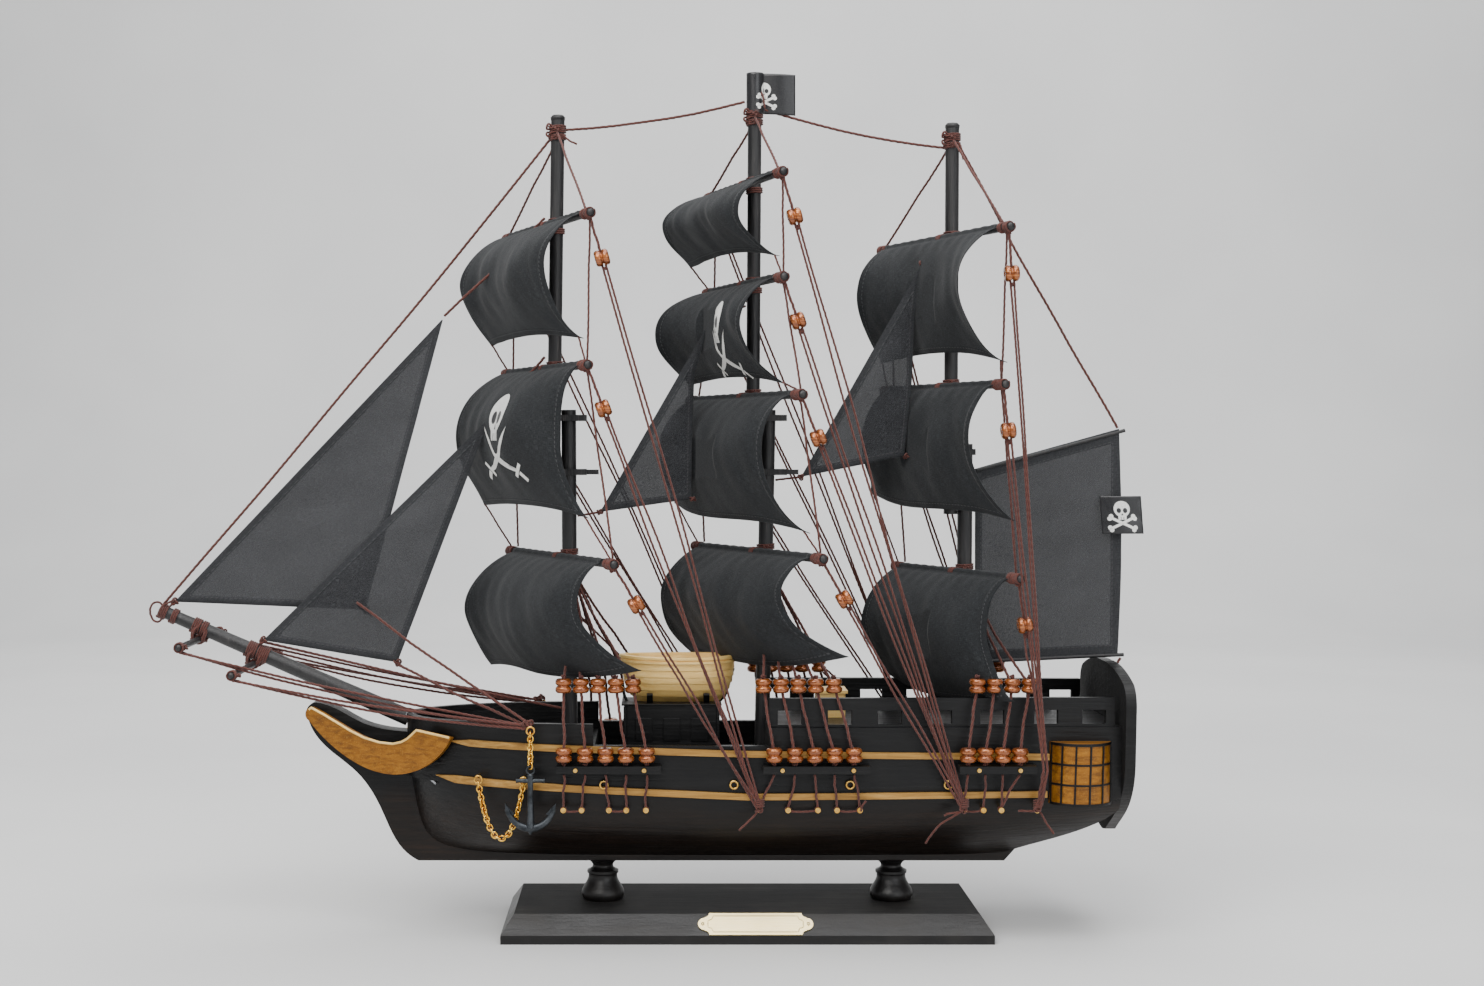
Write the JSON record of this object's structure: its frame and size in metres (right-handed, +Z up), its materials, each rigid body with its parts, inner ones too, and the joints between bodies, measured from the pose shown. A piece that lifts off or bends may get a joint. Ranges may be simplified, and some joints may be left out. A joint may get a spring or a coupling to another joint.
{
  "type": "model sailing ship",
  "caption": "Decorative square-rigged wooden sailing ship with black cloth sails, cord rigging, brass trim and hanging anchors, on a bevelled display stand",
  "frame": {"origin": "middle of the stand's underside", "axes": "bow toward -X, stern toward +X, port side toward -Y, +Z up"},
  "size_m": [0.4922, 0.1362, 0.425],
  "materials": {
    "sailcloth": "thin black plain-weave cotton, slightly sheer",
    "flag_paper": "black printed paper, lightly glossy",
    "cord": "twisted red-brown cotton cord",
    "bead_wood": "lacquered copper-brown turned wood",
    "brass": "bright brass",
    "plate_brass": "pale polished brass",
    "gold_chain": "bright gold-plated chain",
    "anchor_metal": "dark grey cast metal",
    "steel": "zinc-plated steel",
    "gold_paint": "gold-ochre painted wood",
    "stand_lacquer": "black lacquered wood",
    "hull_paint": "black painted wood with brush marks",
    "spar_wood": "black stained dowel"
  },
  "bodies": {
    "ship": {"bowsprit": "spar_wood", "brace_beads": "bead_wood", "braces": "cord", "brass_nails": "brass", "channels": "hull_paint", "deadeyes": "bead_wood", "deckhouse": "hull_paint", "eye_screws": "brass", "fore_bulwark": "hull_paint", "fore_course_sail": "sailcloth", "fore_lower_mast": "spar_wood", "fore_topgallant_sail": "sailcloth", "fore_topmast": "spar_wood", "fore_topsail_sail": "sailcloth", "fore_yards": "spar_wood", "head_boards": "gold_paint", "hull_block": "hull_paint", "inner_jib": "sailcloth", "lifeboat": "gold_paint", "main_course_sail": "sailcloth", "main_lower_mast": "spar_wood", "main_royal_sail": "sailcloth", "main_staysail": "sailcloth", "main_topgallant_sail": "sailcloth", "main_topmast": "spar_wood", "main_topsail_sail": "sailcloth", "main_yards": "spar_wood", "mast_caps": "spar_wood", "masthead_flag": "flag_paper", "mizzen_course_sail": "sailcloth", "mizzen_lower_mast": "spar_wood", "mizzen_staysail": "sailcloth", "mizzen_topgallant_sail": "sailcloth", "mizzen_topmast": "spar_wood", "mizzen_topsail_sail": "sailcloth", "mizzen_yards": "spar_wood", "name_plate": "plate_brass", "outer_jib": "sailcloth", "quarter_galleries": "gold_paint", "quarter_rails": "hull_paint", "quarterdeck_hatch": "gold_paint", "shrouds": "cord", "spanker": "sailcloth", "spritsail_yards": "spar_wood", "stand_base": "stand_lacquer", "stand_posts": "stand_lacquer", "stand_screws": "steel", "stays": "cord", "stem_and_keel": "hull_paint", "stern_flag": "flag_paper", "transom": "hull_paint", "waist_bulwarks": "hull_paint", "wales": "gold_paint", "yard_lines": "cord"},
    "anchor_chain_port": {"anchor_chain_port": "gold_chain"},
    "anchor_port": {"anchor_port": "anchor_metal"},
    "chain_swag_port": {"chain_swag_port": "gold_chain"},
    "anchor_chain_starboard": {"anchor_chain_starboard": "gold_chain"},
    "anchor_starboard": {"anchor_starboard": "anchor_metal"},
    "chain_swag_starboard": {"chain_swag_starboard": "gold_chain"}
  },
  "joints": [
    {"name": "anchor_chain_swing_port", "type": "hinge", "parent": "ship", "child": "anchor_chain_port", "pos_m": [-0.1035, -0.0505, 0.101], "axis": [-1, 0, 0], "range_deg": [0, 50]},
    {"name": "anchor_sway_port", "type": "hinge", "parent": "anchor_chain_port", "child": "anchor_port", "pos_m": [-0.1035, -0.0505, 0.0868], "axis": [0, 1, 0], "range_deg": [-6, 20]},
    {"name": "chain_swag_swing_port", "type": "hinge", "parent": "ship", "child": "chain_swag_port", "pos_m": [-0.129, -0.0424, 0.0764], "axis": [-0.9788, 0.2047, 0], "range_deg": [0, 5]},
    {"name": "anchor_chain_swing_starboard", "type": "hinge", "parent": "ship", "child": "anchor_chain_starboard", "pos_m": [-0.1035, 0.0505, 0.101], "axis": [1, 0, 0], "range_deg": [0, 50]},
    {"name": "anchor_sway_starboard", "type": "hinge", "parent": "anchor_chain_starboard", "child": "anchor_starboard", "pos_m": [-0.1035, 0.0505, 0.0868], "axis": [0, 1, 0], "range_deg": [-6, 20]},
    {"name": "chain_swag_swing_starboard", "type": "hinge", "parent": "ship", "child": "chain_swag_starboard", "pos_m": [-0.129, 0.0424, 0.0764], "axis": [0.9788, 0.2047, 0], "range_deg": [0, 5]}
  ]
}
